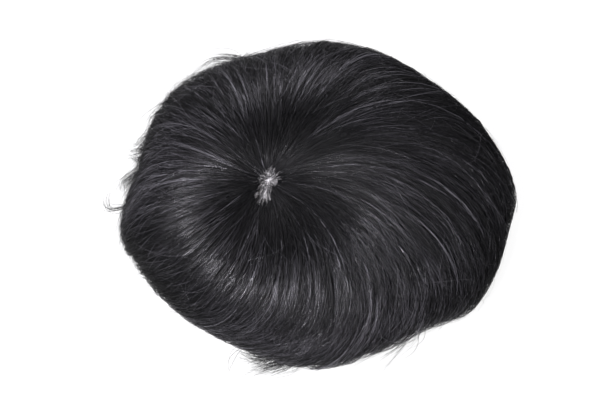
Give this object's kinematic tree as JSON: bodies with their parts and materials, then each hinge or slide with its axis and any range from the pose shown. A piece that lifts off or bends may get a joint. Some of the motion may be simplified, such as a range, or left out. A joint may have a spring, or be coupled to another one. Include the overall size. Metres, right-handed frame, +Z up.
{
  "type": "toupee hairpiece",
  "caption": "Short dark hair swept round a crown whorl on a thin domed base cap, worn over the top of the head and shown lying on its rim.",
  "frame": {"origin": "on the surface the piece lies on, under the middle of its overall box", "axes": "+X towards the front hairline, +Y towards the wearer's left, +Z up out of the crown"},
  "size_m": [0.2816, 0.2478, 0.0693],
  "materials": {
    "base_cap": "matt skin-tone mesh and thin skin, seen at the whorl",
    "hair": "near-black hair with a soft sheen"
  },
  "bodies": {
    "root": {"base_cap": "base_cap", "hair_top_sweep": "hair", "hair_left_side": "hair", "hair_back": "hair", "hair_right_side": "hair", "hair_fringe": "hair"}
  },
  "joints": []
}
